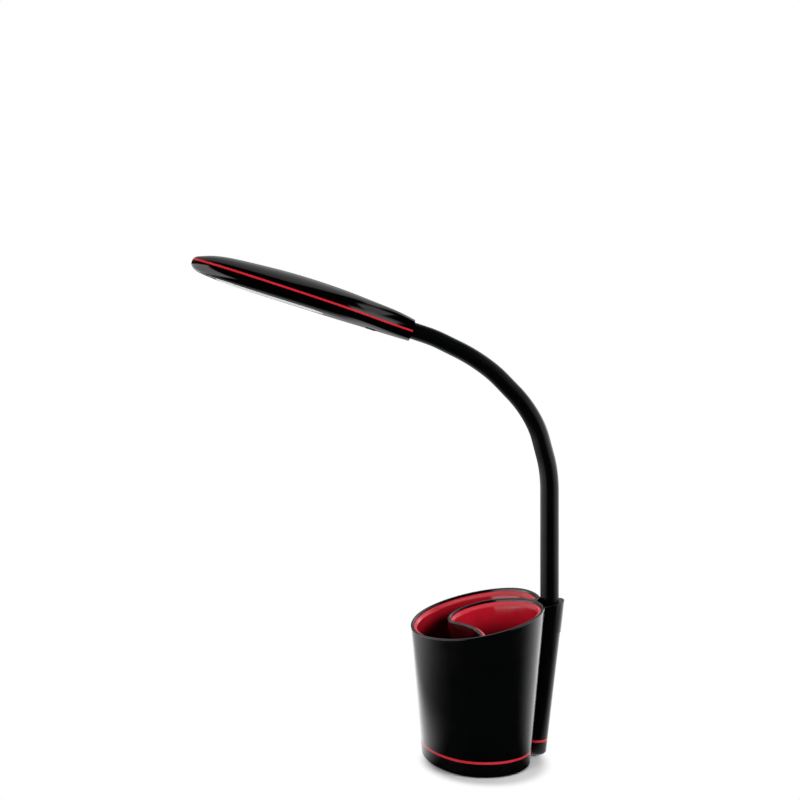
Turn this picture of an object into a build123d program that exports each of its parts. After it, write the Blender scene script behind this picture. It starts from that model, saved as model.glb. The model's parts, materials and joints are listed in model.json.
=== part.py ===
"""Desk lamp with a flexible neck standing on a spiral pen cup. Sizes in millimetres, angles in degrees."""

from build123d import *
from math import cos, radians, sin, sqrt
import os

os.makedirs("parts", exist_ok=True)

# Frame: the pad's underside is Z = 0, the cup's drafted walls lean in towards the Z axis,
# and at rest the head reaches over the cup towards -X.

# Cup and base, heights above the desk
foot_height = 0.6
cover_floor = 3.0
cover_top = 10.5
stripe_height = 1.8
stripe_depth = 2.6
skirt_top = 20.0
cup_floor = 2.5
wall = 1.9
liner_wall = 1.5
liner_clearance = 0.15
rim_lip = 1.9
rim_round_share = 0.42
foot_round = 2.4
rim_height = 106.7
rim_rise_x_share = 0.225
rim_rise_y_share = 0.023
draft_apex = 441.0

# The wall in plan at desk level is one spiral of tangent arcs, from the post round the back,
# the left and the front, then inwards as the divider between the two compartments.
# Each row has the arc's radius, as a share of the cup's depth at desk level, and its sweep
cup_depth = 103.6
spiral_start_shares = (0.41023, 0.08301)
spiral_start_heading = 83.8
spiral_shares = [
    (0.64672, 22),
    (0.36969, 138),
    (0.62355, 66),
    (0.33108, 30),
    (0.34363, 112),
    (0.42857, 10),
    (0.42857, 10),
    (0.42857, 34),
    (0.21525, 151),
    (-0.69208, 34.4),
]
outline_arcs = range(0, 6)
hollow_arcs = range(0, 7)
divider_arcs = range(6, 10)
crescent_arcs = range(0, 4)

# Post at the spiral's outer end, with the collar that holds the neck
post_reach_share = 0.825
post_y_share = 0.08687
post_margin = 1.5
post_wall = 1.4
post_seat = 5.0
collar_height = 21.7
collar_drop = 6.0
collar_step = 0.3
collar_gap = 0.15
collar_round = 0.7
channel_length = 6.0
channel_width = 5.0
channel_height = 6.0

# Neck: steel goose-neck core in a rubber sleeve
neck_base_radius = 7.15
neck_head_radius = 6.4
core_radius = 3.8
core_bore = 2.0
core_clearance = 0.1
ball_margin = 1.25
ball_clearance = 0.3
first_joint_height = 207.0
link_pitch = 13.8
neck_bends = [6.5, 8.8, 0, 12.1, 8.3, 8.7, 0, 8.6, 5.2, 6.0, 0, 7.8]
neck_end_length = 18.2
insertion_wall = 1.0
core_end = 0.5
ferrule_wall = 0.5
ferrule_length = 12.0
fit_gap = 0.1
tail_step = 0.8
nut_wall = 1.8
nut_height = 4.5
core_tail = 1.5

# Weight, board, screws and power socket inside the base
weight_place_shares = (0.01448, 0.0917)
weight_radius_shares = (0.29923, 0.40541)
screw_place_shares = (0.14961, 0.24324)
weight_gap = 1.2
boss_wall = 2.1
boss_gap = 0.3
plate_hole_gap = 0.8
screw_radius = 1.5
screw_head_radius = 2.8
screw_head_height = 1.4
screw_length = 11.0
socket_radius = 1.3
socket_depth = 0.8
pad_thickness = 1.4
pad_inset = 7.0
pad_gap = 0.2
board_length = 42.0
board_width = 24.0
board_thickness = 1.2
board_drop = 3.8
board_boss_wall = 1.4
coil_radius = 4.0
coil_height = 3.2
chip_size = 5.0
chip_height = 1.2
jack_height = 25.0
jack_angle = 35.0
jack_radius = 4.2
jack_length = 9.0
jack_wall = 1.3
jack_bore_depth = 7.0
jack_pin_radius = 1.0
jack_recess = 0.6
jack_pin_length = 6.0

# Head, in its own axes: s along the head from the neck end, heights from the parting plane
head_length = 171.5
head_width = 47.6
head_top_height = 13.8
head_bottom_height = 9.1
head_wall = 1.8
head_neck_offset = 0.9
trim_height = 1.5
tip_drop = 2.4
station_shares = [0, 0.07, 0.175, 0.29, 0.43, 0.58, 0.73, 0.85, 0.925, 0.97, 0.992]
width_shares = [0.349, 0.42, 0.63, 0.89, 1.0, 0.98, 0.875, 0.70, 0.505, 0.32, 0.17]
top_shares = [0.667, 0.80, 0.89, 0.965, 1.0, 0.955, 0.82, 0.67, 0.475, 0.27, 0.12]
bottom_shares = [0.82, 0.85, 0.88, 0.90, 0.925, 0.96, 1.0, 0.985, 0.93, 0.82, 0.60]
flat_shares = [0.30, 0.33, 0.42, 0.58, 0.68, 0.69, 0.68, 0.66, 0.60, 0.5, 0.4]
hollow_first = 1
hollow_last = 9

# Light and switch in the head
diffuser_start_share = 0.39067
diffuser_length_share = 0.4898
diffuser_width_share = 0.52521
diffuser_flange = 1.8
diffuser_flange_height = 1.0
diffuser_gap = 0.12
tray_drop = 3.2
chamber_shares = (0.85714, 0.56)
led_board_shares = (0.95238, 0.72)
led_board_thickness = 1.2
led_length = 3.5
led_width = 2.8
led_height = 0.7
led_count = 9
led_row_pitch_share = 0.64286
board_screw_radius = 1.0
board_screw_head = 1.9
board_screw_head_height = 1.2
board_screw_length = 5.0
led_screw_length = 3.2
head_boss_radius = 2.6
head_boss_pitch_share = 0.59524
clamp_wall = 1.6
clamp_length = 3.5
button_station = 2
button_length = 8.0
button_width = 4.6
button_proud = 0.5
button_gap = 0.3
button_round = 0.4
button_travel = 0.5
button_flange = 0.9
button_flange_height = 0.8
switch_size = 6.0
switch_height = 2.4
stem_radius = 1.4
switch_gap = 0.3
switch_board_thickness = 1.2
switch_board_length = 19.0
switch_board_width = 11.0
switch_boss_wall = 0.9
switch_boss_pitch = 14.5

overrun = 20.0
quarter_turn = 90

# Sizes that follow from the others
spiral = [(cup_depth * radius_share, sweep) for radius_share, sweep in spiral_shares]
spiral_start_x, spiral_start_y = [cup_depth * share for share in spiral_start_shares]
rim_round = wall * rim_round_share
post_y = cup_depth * post_y_share
post_x = spiral_start_x + neck_base_radius * post_reach_share
rim_rise = rim_rise_x_share * post_x + rim_rise_y_share * post_y
collar_growth = (draft_apex + rim_height - collar_drop) / (draft_apex - rim_rise)
neck_x = post_x * collar_growth
neck_y = post_y * collar_growth
collar_top = rim_height - collar_drop + rim_rise * collar_growth
post_joint_height = collar_top - collar_height
post_radius = neck_base_radius + post_margin
ball_radius = neck_base_radius + ball_margin
tail_radius = core_radius - tail_step
nut_radius = tail_radius + nut_wall
boss_radius = screw_radius + boss_wall
board_boss_radius = board_screw_radius + board_boss_wall
switch_boss_radius = board_screw_radius + switch_boss_wall
jack_bore_radius = jack_radius - jack_wall
clamp_radius = core_radius + clamp_wall
neck_insertion = head_length * station_shares[hollow_first] - insertion_wall
core_insertion = head_length * station_shares[hollow_first] + clamp_length + core_end
cover_inside = foot_height + cover_floor
board_top = skirt_top - board_drop
board_bottom = board_top - board_thickness
weight_height = board_bottom - coil_height - weight_gap - cover_inside
weight_x, weight_y = [cup_depth * share for share in weight_place_shares]
weight_radius_x, weight_radius_y = [cup_depth * share for share in weight_radius_shares]
screw_x, screw_y = [cup_depth * share for share in screw_place_shares]
diffuser_start = head_length * diffuser_start_share
diffuser_length = head_length * diffuser_length_share
diffuser_width = head_width * diffuser_width_share
chamber_length, chamber_width = [size * share for size, share in zip((diffuser_length, diffuser_width),
                                                                     chamber_shares)]
led_board_length, led_board_width = [size * share for size, share in zip((diffuser_length, diffuser_width),
                                                                         led_board_shares)]
head_boss_pitch = diffuser_length * head_boss_pitch_share


def grow(height):
    """Scale of the drafted plan at a height above the desk."""
    return (draft_apex + height) / draft_apex


def spiral_points():
    """Start point and heading of each arc, and those after the last one."""
    x, y, heading = spiral_start_x, spiral_start_y, spiral_start_heading
    points = [(x, y, heading)]
    for radius, sweep in spiral:
        turned = heading + (sweep if radius > 0 else -sweep)
        x += radius * (sin(radians(turned)) - sin(radians(heading)))
        y -= radius * (cos(radians(turned)) - cos(radians(heading)))
        heading = turned
        points.append((x, y, heading))
    return points


def inset_point(index, inset):
    x, y, heading = spiral_points()[index]
    return (x - inset * sin(radians(heading)), y + inset * cos(radians(heading)))


def spiral_run(arcs, inset):
    """Draws arcs of the spiral, moved inwards, in the open BuildLine."""
    for index in arcs:
        radius, sweep = spiral[index]
        heading = spiral_points()[index][2]
        turn = sweep if radius > 0 else -sweep
        JernArc(inset_point(index, inset), (cos(radians(heading)), sin(radians(heading))),
                abs(radius - inset), turn)


def outline_face(inset):
    """Plan at desk level of the base inside its outer wall, without the post."""
    with BuildSketch() as plan:
        with BuildLine():
            spiral_run(outline_arcs, inset)
            Line(inset_point(outline_arcs.stop, inset), inset_point(0, inset))
        make_face()
    return plan.face()


def drafted(face, bottom, top):
    """Solid between two heights of a plan face that grows with the draft."""
    with BuildPart() as block:
        loft([Pos(0, 0, height) * scale(face, by=grow(height)) for height in (bottom, top)], ruled=True)
    return block.part


def post_column(radius, bottom, top):
    """Leaning cone of the post between two heights, with its radius at desk level."""
    with BuildPart() as column:
        for height in (bottom, top):
            with BuildSketch(Plane.XY.offset(height)):
                with Locations((post_x * grow(height), post_y * grow(height))):
                    Circle(radius * grow(height))
        loft(ruled=True)
    return column.part


def base_block(inset, bottom, top):
    """Solid inside the outer wall and the post's lobe, both moved inwards."""
    with BuildPart() as block:
        add(drafted(outline_face(inset), bottom, top))
        add(post_column(post_radius - inset, bottom, top))
    return block.part


def band_between(inset, depth, arcs):
    """Plan of a strip that follows some of the arcs."""
    with BuildSketch() as plan:
        with BuildLine():
            spiral_run(arcs, inset)
            spiral_run(arcs, inset + depth)
            Line(inset_point(arcs.start, inset), inset_point(arcs.start, inset + depth))
            Line(inset_point(arcs.stop, inset), inset_point(arcs.stop, inset + depth))
        make_face()
    return plan.face()


with BuildSketch() as hollow_plan:
    with BuildLine():
        spiral_run(hollow_arcs, wall)
        Line(inset_point(hollow_arcs.stop, wall), inset_point(0, wall))
    make_face()
    with BuildLine():
        spiral_run(divider_arcs, 0)
        spiral_run(divider_arcs, wall)
        Line(inset_point(divider_arcs.start, 0), inset_point(divider_arcs.start, wall))
        Line(inset_point(divider_arcs.stop, 0), inset_point(divider_arcs.stop, wall))
    make_face(mode=Mode.SUBTRACT)
crescent_plan, oval_plan = hollow_plan.faces().sort_by(Axis.X)

shell_bottom = cover_top + stripe_height
floor_top = skirt_top + cup_floor
above_rim = rim_height + 2 * overrun


def rim_plane(drop):
    return Plane(origin=(0, 0, rim_height - drop), x_dir=(1, 0, rim_rise_x_share),
                 z_dir=(-rim_rise_x_share, -rim_rise_y_share, 1))


screw_places = [(weight_x + sx * screw_x, weight_y + sy * screw_y) for sx in (-1, 1) for sy in (-1, 1)]
board_boss_places = [(weight_x + side * (board_length / 2 - board_boss_radius - wall), weight_y)
                     for side in (-1, 1)]
jack_scale = grow(jack_height)
jack_direction = Vector(cos(radians(jack_angle)), sin(radians(jack_angle)), 0)
post_axis_at_jack = Vector(post_x * jack_scale, post_y * jack_scale, jack_height)
jack_mouth = post_axis_at_jack + jack_direction * (post_radius * jack_scale - jack_recess)
jack_plane = Plane(origin=jack_mouth, x_dir=(0, 0, 1), z_dir=jack_direction)

# Cup shell: spiral wall, post, floor and hollow skirt, cut off by the slanted rim
with BuildPart() as cup_shell:
    add(drafted(outline_face(0), shell_bottom, above_rim))
    add(post_column(post_radius, shell_bottom, post_joint_height))
    add(drafted(crescent_plan, floor_top, above_rim + overrun), mode=Mode.SUBTRACT)
    add(drafted(oval_plan, floor_top, above_rim + overrun), mode=Mode.SUBTRACT)
    split(bisect_by=rim_plane(0), keep=Keep.BOTTOM)
    fillet(cup_shell.faces().filter_by(rim_plane(0)).edges(), rim_round)
    with BuildSketch(Plane.XY.offset(post_joint_height)):
        with Locations((neck_x, neck_y)):
            Circle(neck_base_radius + collar_gap)
    extrude(amount=above_rim, mode=Mode.SUBTRACT)
    add(base_block(wall, foot_height, skirt_top), mode=Mode.SUBTRACT)
    add(post_column(post_radius - post_wall, foot_height, post_joint_height - post_seat), mode=Mode.SUBTRACT)
    with BuildSketch(Plane.XY.offset(shell_bottom)):
        with Locations((post_x - post_radius + post_wall, post_y)):
            Rectangle(channel_length, channel_width)
    extrude(amount=channel_height, mode=Mode.SUBTRACT)
    with BuildSketch(Plane.XY.offset(post_joint_height)):
        with Locations((neck_x, neck_y)):
            Circle(tail_radius + fit_gap)
    extrude(amount=-post_seat - overrun, mode=Mode.SUBTRACT)
    with BuildSketch(Plane.XY.offset(cover_inside + boss_gap)):
        with Locations(*screw_places):
            Circle(boss_radius)
    extrude(until=Until.NEXT)
    with BuildSketch(Plane.XY.offset(board_top)):
        with Locations(*board_boss_places):
            Circle(board_boss_radius)
    extrude(until=Until.NEXT)
    with BuildSketch(Plane.XY.offset(cover_inside + boss_gap)):
        with Locations(*screw_places):
            Circle(screw_radius + fit_gap)
    extrude(amount=screw_length, mode=Mode.SUBTRACT)
    with BuildSketch(Plane.XY.offset(board_top)):
        with Locations(*board_boss_places):
            Circle(board_screw_radius)
    extrude(amount=board_screw_length, mode=Mode.SUBTRACT)
    with BuildSketch(jack_plane.offset(jack_recess + overrun)):
        Circle(jack_radius + fit_gap)
    extrude(amount=-overrun - jack_recess - jack_length, mode=Mode.SUBTRACT)
cup_shell.part.label = "cup_shell"
export_step(cup_shell.part, "parts/cup_shell.step")

# Red liners on the hollow sides of the two compartments
with BuildPart() as crescent_liner:
    liner_plan = band_between(wall + liner_clearance, liner_wall, crescent_arcs)
    add(drafted(liner_plan, floor_top, above_rim))
    split(bisect_by=rim_plane(rim_lip), keep=Keep.BOTTOM)
crescent_liner.part.label = "crescent_liner"
export_step(crescent_liner.part, "parts/crescent_liner.step")

with BuildSketch() as oval_liner_plan:
    add(oval_plan)
    offset(amount=-liner_clearance, kind=Kind.INTERSECTION)
with BuildSketch() as oval_inside_plan:
    add(oval_plan)
    offset(amount=-liner_clearance - liner_wall, kind=Kind.INTERSECTION)
with BuildPart() as oval_liner:
    add(drafted(oval_liner_plan.face(), floor_top, above_rim))
    add(drafted(oval_inside_plan.face(), floor_top + liner_wall, above_rim + overrun), mode=Mode.SUBTRACT)
    split(bisect_by=rim_plane(rim_lip), keep=Keep.BOTTOM)
oval_liner.part.label = "oval_liner"
export_step(oval_liner.part, "parts/oval_liner.step")

# Base: stripe ring, screwed cover, weight, pad
with BuildPart() as base_stripe:
    add(base_block(0, cover_top, shell_bottom))
    add(base_block(stripe_depth, foot_height, skirt_top), mode=Mode.SUBTRACT)
base_stripe.part.label = "base_stripe"
export_step(base_stripe.part, "parts/base_stripe.step")

with BuildPart() as base_cover:
    add(base_block(0, foot_height, cover_top))
    add(base_block(wall, cover_inside, skirt_top), mode=Mode.SUBTRACT)
    fillet(base_cover.faces().sort_by(Axis.Z)[0].edges(), foot_round)
    add(drafted(outline_face(pad_inset - pad_gap), 0, pad_thickness), mode=Mode.SUBTRACT)
    with BuildSketch(Plane.XY.offset(pad_thickness)):
        with Locations(*screw_places):
            Circle(screw_head_radius + fit_gap)
    extrude(amount=screw_head_height, mode=Mode.SUBTRACT)
    with BuildSketch(Plane.XY.offset(pad_thickness)):
        with Locations(*screw_places):
            Circle(screw_radius + fit_gap)
    extrude(amount=cover_floor, mode=Mode.SUBTRACT)
base_cover.part.label = "base_cover"
export_step(base_cover.part, "parts/base_cover.step")

with BuildPart() as weight_plate:
    with BuildSketch(Plane.XY.offset(cover_inside)):
        with Locations((weight_x, weight_y)):
            Ellipse(weight_radius_x, weight_radius_y)
        with Locations(*screw_places):
            Circle(boss_radius + plate_hole_gap, mode=Mode.SUBTRACT)
    extrude(amount=weight_height)
weight_plate.part.label = "weight_plate"
export_step(weight_plate.part, "parts/weight_plate.step")

with BuildPart() as antislip_pad:
    add(drafted(outline_face(pad_inset), 0, pad_thickness))
antislip_pad.part.label = "antislip_pad"
export_step(antislip_pad.part, "parts/antislip_pad.step")

with BuildPart() as base_screws:
    with BuildSketch(Plane.XY.offset(pad_thickness)):
        with Locations(*screw_places):
            Circle(screw_head_radius)
    extrude(amount=screw_head_height)
    with BuildSketch(Plane.XY.offset(pad_thickness)):
        with Locations(*screw_places):
            Circle(screw_radius)
    extrude(amount=screw_length)
    with BuildSketch(Plane.XY.offset(pad_thickness)):
        with Locations(*screw_places):
            RegularPolygon(socket_radius, 6)
    extrude(amount=socket_depth, mode=Mode.SUBTRACT)
base_screws.part.label = "base_screws"
export_step(base_screws.part, "parts/base_screws.step")

# Driver board hung from two bosses under the cup's floor
with BuildPart() as driver_board:
    with BuildSketch(Plane.XY.offset(board_bottom)):
        with Locations((weight_x, weight_y)):
            Rectangle(board_length, board_width)
        with Locations(*board_boss_places):
            Circle(board_screw_radius + fit_gap, mode=Mode.SUBTRACT)
    extrude(amount=board_thickness)
driver_board.part.label = "driver_board"
export_step(driver_board.part, "parts/driver_board.step")

with BuildPart() as driver_board_screws:
    with BuildSketch(Plane.XY.offset(board_bottom)):
        with Locations(*board_boss_places):
            Circle(board_screw_head)
    extrude(amount=-board_screw_head_height)
    with BuildSketch(Plane.XY.offset(board_bottom)):
        with Locations(*board_boss_places):
            Circle(board_screw_radius)
    extrude(amount=board_screw_length)
driver_board_screws.part.label = "driver_board_screws"
export_step(driver_board_screws.part, "parts/driver_board_screws.step")

with BuildPart() as driver_coil:
    with BuildSketch(Plane.XY.offset(board_bottom)):
        with Locations((weight_x - coil_radius - chip_size / 2, weight_y)):
            Circle(coil_radius)
    extrude(amount=-coil_height)
driver_coil.part.label = "driver_coil"
export_step(driver_coil.part, "parts/driver_coil.step")

with BuildPart() as driver_chip:
    with BuildSketch(Plane.XY.offset(board_bottom)):
        with Locations((weight_x + chip_size, weight_y)):
            Rectangle(chip_size, chip_size)
    extrude(amount=-chip_height)
driver_chip.part.label = "driver_chip"
export_step(driver_chip.part, "parts/driver_chip.step")

# Power socket in the post
with BuildPart() as dc_jack:
    with BuildSketch(jack_plane):
        Circle(jack_radius)
    extrude(amount=-jack_length)
    with BuildSketch(jack_plane):
        Circle(jack_bore_radius)
    extrude(amount=-jack_bore_depth, mode=Mode.SUBTRACT)
dc_jack.part.label = "dc_jack"
export_step(dc_jack.part, "parts/dc_jack.step")

with BuildPart() as dc_jack_pin:
    with BuildSketch(jack_plane.offset(-jack_bore_depth)):
        Circle(jack_pin_radius)
    extrude(amount=jack_pin_length)
dc_jack_pin.part.label = "dc_jack_pin"
export_step(dc_jack_pin.part, "parts/dc_jack_pin.step")

# Collar on the post, with a ferrule round the neck's foot
ferrule_inner = neck_base_radius + fit_gap
ferrule_outer = ferrule_inner + ferrule_wall
with BuildPart() as post_collar:
    add(post_column(post_radius + collar_step, post_joint_height, above_rim))
    split(bisect_by=rim_plane(collar_drop), keep=Keep.BOTTOM)
    fillet(post_collar.faces().filter_by(rim_plane(0)).edges(), collar_round)
    add(drafted(outline_face(-collar_gap), foot_height, above_rim), mode=Mode.SUBTRACT)
    for reach, height in ((ferrule_inner, rim_height), (ferrule_outer + fit_gap, ferrule_length)):
        with BuildSketch(Plane.XY.offset(post_joint_height)):
            with Locations((neck_x, neck_y)):
                Circle(reach)
            with Locations((neck_x - post_radius, neck_y)):
                Rectangle(2 * post_radius, 2 * reach)
        extrude(amount=height, mode=Mode.SUBTRACT)
post_collar.part.label = "post_collar"
export_step(post_collar.part, "parts/post_collar.step")

with BuildPart() as neck_ferrule:
    with BuildSketch(Plane.XY.offset(post_joint_height)):
        with Locations((neck_x, neck_y)):
            Circle(ferrule_outer)
            Circle(ferrule_inner, mode=Mode.SUBTRACT)
    extrude(amount=ferrule_length)
neck_ferrule.part.label = "neck_ferrule"
export_step(neck_ferrule.part, "parts/neck_ferrule.step")

with BuildPart() as neck_nut:
    with BuildSketch(Plane.XY.offset(post_joint_height - post_seat)):
        with Locations((neck_x, neck_y)):
            RegularPolygon(nut_radius, 6)
            Circle(tail_radius + fit_gap, mode=Mode.SUBTRACT)
    extrude(amount=-nut_height)
neck_nut.part.label = "neck_nut"
export_step(neck_nut.part, "parts/neck_nut.step")


def tilted_plane(point, tilt):
    """Plane whose Y runs along the neck, tilted over towards -X."""
    return Plane(origin=point, x_dir=(cos(radians(tilt)), 0, sin(radians(tilt))), z_dir=(0, -1, 0))


def turned_tube(plane, length, inner, outer_near, outer_far, near_ball, far_ball):
    """Tube along a plane's Y, with a ball seat at its near end or a ball at its far end where asked."""
    near = [(r, sqrt(near_ball ** 2 - r ** 2) if near_ball else 0)
            for r in (inner, (inner + outer_near) / 2, outer_near)]
    far = [(r, length + (sqrt(far_ball ** 2 - r ** 2) if far_ball else 0))
           for r in (outer_far, (inner + outer_far) / 2, inner)]
    with BuildPart() as tube:
        with BuildSketch(plane):
            with BuildLine():
                for rim in (near, far):
                    if rim[0][1] == rim[2][1]:
                        Line(rim[0], rim[2])
                    else:
                        ThreePointArc(*rim)
                Line(near[2], far[0])
                Line(far[2], near[0])
            make_face()
        revolve(axis=Axis(plane.origin, plane.y_dir))
    return tube.part


def neck_radius(index):
    share = index / len(neck_bends)
    return neck_base_radius + (neck_head_radius - neck_base_radius) * share


# Neck: a straight foot, then short links whose ball ends nest in each other
seat_radius = ball_radius + ball_clearance
sleeve_bore = core_radius + core_clearance
root_length = first_joint_height - post_joint_height
root_plane = tilted_plane((neck_x, neck_y, post_joint_height), 0)
with BuildPart() as neck_root_sleeve:
    add(turned_tube(root_plane, root_length, sleeve_bore, neck_base_radius, neck_base_radius, 0, ball_radius))
neck_root_sleeve.part.label = "neck_root_sleeve"
export_step(neck_root_sleeve.part, "parts/neck_root_sleeve.step")

tail_length = post_seat + nut_height + core_tail
with BuildPart() as neck_root_core:
    add(turned_tube(root_plane, root_length, core_bore, core_radius, core_radius, 0, ball_radius))
    with BuildSketch(Plane.XY.offset(post_joint_height)):
        with Locations((neck_x, neck_y)):
            Circle(tail_radius)
            Circle(core_bore, mode=Mode.SUBTRACT)
    extrude(amount=-tail_length)
neck_root_core.part.label = "neck_root_core"
export_step(neck_root_core.part, "parts/neck_root_core.step")

joint_point = Vector(neck_x, neck_y, first_joint_height)
neck_tilt = 0
for index, bend in enumerate(neck_bends[:-1]):
    neck_tilt += bend
    link_plane = tilted_plane(joint_point, neck_tilt)
    with BuildPart() as neck_sleeve:
        add(turned_tube(link_plane, link_pitch, sleeve_bore, neck_radius(index), neck_radius(index + 1),
                        seat_radius, ball_radius))
    neck_sleeve.part.label = f"neck_sleeve_{index + 1:02d}"
    export_step(neck_sleeve.part, f"parts/neck_sleeve_{index + 1:02d}.step")
    with BuildPart() as neck_core:
        add(turned_tube(link_plane, link_pitch, core_bore, core_radius, core_radius, seat_radius, ball_radius))
    neck_core.part.label = f"neck_core_{index + 1:02d}"
    export_step(neck_core.part, f"parts/neck_core_{index + 1:02d}.step")
    joint_point += link_plane.y_dir * link_pitch

neck_tilt += neck_bends[-1]
end_plane = tilted_plane(joint_point, neck_tilt)
with BuildPart() as neck_end_sleeve:
    add(turned_tube(end_plane, neck_end_length + neck_insertion, sleeve_bore, neck_radius(len(neck_bends) - 1),
                    neck_head_radius, seat_radius, 0))
neck_end_sleeve.part.label = "neck_end_sleeve"
export_step(neck_end_sleeve.part, "parts/neck_end_sleeve.step")

with BuildPart() as neck_end_core:
    add(turned_tube(end_plane, neck_end_length + core_insertion, core_bore, core_radius, core_radius,
                    seat_radius, 0))
neck_end_core.part.label = "neck_end_core"
export_step(neck_end_core.part, "parts/neck_end_core.step")

# Head: the neck enters its end face a little above the parting plane
head_forward = end_plane.y_dir
head_up = end_plane.x_dir
head_mouth = joint_point + head_forward * neck_end_length
head_origin = head_mouth - head_up * head_neck_offset
mouth_plane = Plane(origin=head_mouth, x_dir=(0, -1, 0), z_dir=head_forward)


def head_plan(height):
    """Plane along the head at a height over the parting plane, X towards the tip."""
    return Plane(origin=head_origin + head_up * height, x_dir=head_forward, z_dir=head_up)


def head_section(index, inset):
    half_width = head_width / 2 * width_shares[index] - inset
    flat = head_width / 2 * width_shares[index] * flat_shares[index]
    top = head_top_height * top_shares[index] - inset
    bottom = head_bottom_height * bottom_shares[index] - inset
    place = head_origin + head_forward * (head_length * station_shares[index])
    with BuildSketch(Plane(origin=place, x_dir=(0, -1, 0), z_dir=head_forward)) as section:
        with BuildLine():
            EllipticalCenterArc((0, 0), half_width, top, start_angle=0, arc_size=2 * quarter_turn)
            EllipticalCenterArc((-flat, 0), half_width - flat, bottom, start_angle=2 * quarter_turn,
                                arc_size=quarter_turn)
            Line((-flat, -bottom), (flat, -bottom))
            EllipticalCenterArc((flat, 0), half_width - flat, bottom, start_angle=3 * quarter_turn,
                                arc_size=quarter_turn)
        make_face()
    return section.sketch.faces()[0]


head_tip = head_origin + head_forward * head_length - head_up * tip_drop
with BuildPart() as head_form:
    loft([head_section(index, 0) for index in range(len(station_shares))] + [Vertex(*head_tip)])
with BuildPart() as head_hollow:
    loft([head_section(index, head_wall) for index in range(hollow_first, hollow_last + 1)])
with BuildPart() as head_skin:
    add(head_form.part)
    add(head_hollow.part, mode=Mode.SUBTRACT)
    with BuildSketch(mouth_plane):
        Circle(neck_head_radius + fit_gap)
    extrude(amount=neck_insertion, mode=Mode.SUBTRACT)
    with BuildSketch(mouth_plane):
        Circle(core_radius + fit_gap)
    extrude(amount=core_insertion, mode=Mode.SUBTRACT)


def head_columns(places, radius, bottom, top):
    """Round bosses along the head's upright, kept inside its outer form."""
    with BuildPart() as columns:
        with BuildSketch(head_plan(bottom)):
            with Locations(*places):
                Circle(radius)
        extrude(amount=top - bottom)
        add(head_form.part, mode=Mode.INTERSECT)
    return columns.part


diffuser_middle = diffuser_start + diffuser_length / 2
led_board_top = led_board_thickness - tray_drop
boss_places = [(diffuser_middle + side * head_boss_pitch / 2, 0) for side in (-1, 1)]
with BuildPart() as head_top_shell:
    add(head_skin.part)
    split(bisect_by=head_plan(trim_height / 2), keep=Keep.TOP)
    add(head_columns(boss_places, head_boss_radius, led_board_top, head_top_height))
head_top_shell.part.label = "head_top_shell"
export_step(head_top_shell.part, "parts/head_top_shell.step")

with BuildPart() as head_trim_band:
    add(head_skin.part)
    split(bisect_by=head_plan(trim_height / 2), keep=Keep.BOTTOM)
    split(bisect_by=head_plan(-trim_height / 2), keep=Keep.TOP)
head_trim_band.part.label = "head_trim_band"
export_step(head_trim_band.part, "parts/head_trim_band.step")

button_place = head_length * station_shares[button_station]
button_surface = head_bottom_height * bottom_shares[button_station]
flange_bottom = head_wall + button_gap - button_surface
flange_top = flange_bottom + button_flange_height
switch_bottom = flange_top + button_travel + switch_gap
switch_top = switch_bottom + switch_height
switch_boss_places = [(button_place + side * switch_boss_pitch / 2, 0) for side in (-1, 1)]


def slot_column(growth, bottom, top):
    """Column along the head's upright over the diffuser's plan, grown by a margin."""
    with BuildPart() as column:
        with BuildSketch(head_plan(bottom)):
            with Locations((diffuser_middle, 0)):
                SlotOverall(diffuser_length + 2 * growth, diffuser_width + 2 * growth)
        extrude(amount=top - bottom)
    return column.part


with BuildPart() as head_bottom_shell:
    add(head_skin.part)
    split(bisect_by=head_plan(-trim_height / 2), keep=Keep.BOTTOM)
    add(slot_column(diffuser_gap, -head_bottom_height - overrun, 0), mode=Mode.SUBTRACT)
    with BuildSketch(head_plan(-head_bottom_height - overrun)):
        with Locations((button_place, 0)):
            RectangleRounded(button_length + 2 * button_gap, button_width + 2 * button_gap, button_flange)
    extrude(amount=head_bottom_height + overrun, mode=Mode.SUBTRACT)
    add(head_columns(switch_boss_places, switch_boss_radius, -head_bottom_height, switch_top))
    with BuildSketch(head_plan(switch_top)):
        with Locations(*switch_boss_places):
            Circle(board_screw_radius)
    extrude(amount=switch_board_thickness - board_screw_length, mode=Mode.SUBTRACT)
head_bottom_shell.part.label = "head_bottom_shell"
export_step(head_bottom_shell.part, "parts/head_bottom_shell.step")

# Light: diffuser in the underside, tray on its flange, board with two rows of diodes
with BuildPart() as diffuser:
    add(slot_column(0, -head_bottom_height - overrun, 0))
    add(head_form.part, mode=Mode.INTERSECT)
with BuildPart() as diffuser_rim:
    add(slot_column(diffuser_flange, -head_bottom_height - overrun, 0))
    add(head_hollow.part, mode=Mode.INTERSECT)
with BuildPart() as light_diffuser:
    add(diffuser.part)
    add(diffuser_rim.part)
    add(Pos(*(head_up * diffuser_flange_height)) * head_hollow.part, mode=Mode.SUBTRACT)
light_diffuser.part.label = "light_diffuser"
export_step(light_diffuser.part, "parts/light_diffuser.step")

led_screw_places = [(diffuser_middle + side * (chamber_length + led_board_length) / 4, 0) for side in (-1, 1)]
with BuildPart() as light_tray:
    add(slot_column(diffuser_flange, -head_bottom_height, -tray_drop))
    add(Pos(*(head_up * diffuser_flange_height)) * head_hollow.part, mode=Mode.INTERSECT)
    with BuildSketch(head_plan(-tray_drop)):
        with Locations((diffuser_middle, 0)):
            Rectangle(chamber_length, chamber_width)
        with Locations(*led_screw_places):
            Circle(board_screw_radius + fit_gap)
    extrude(amount=-head_bottom_height, mode=Mode.SUBTRACT)
light_tray.part.label = "light_tray"
export_step(light_tray.part, "parts/light_tray.step")

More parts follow.
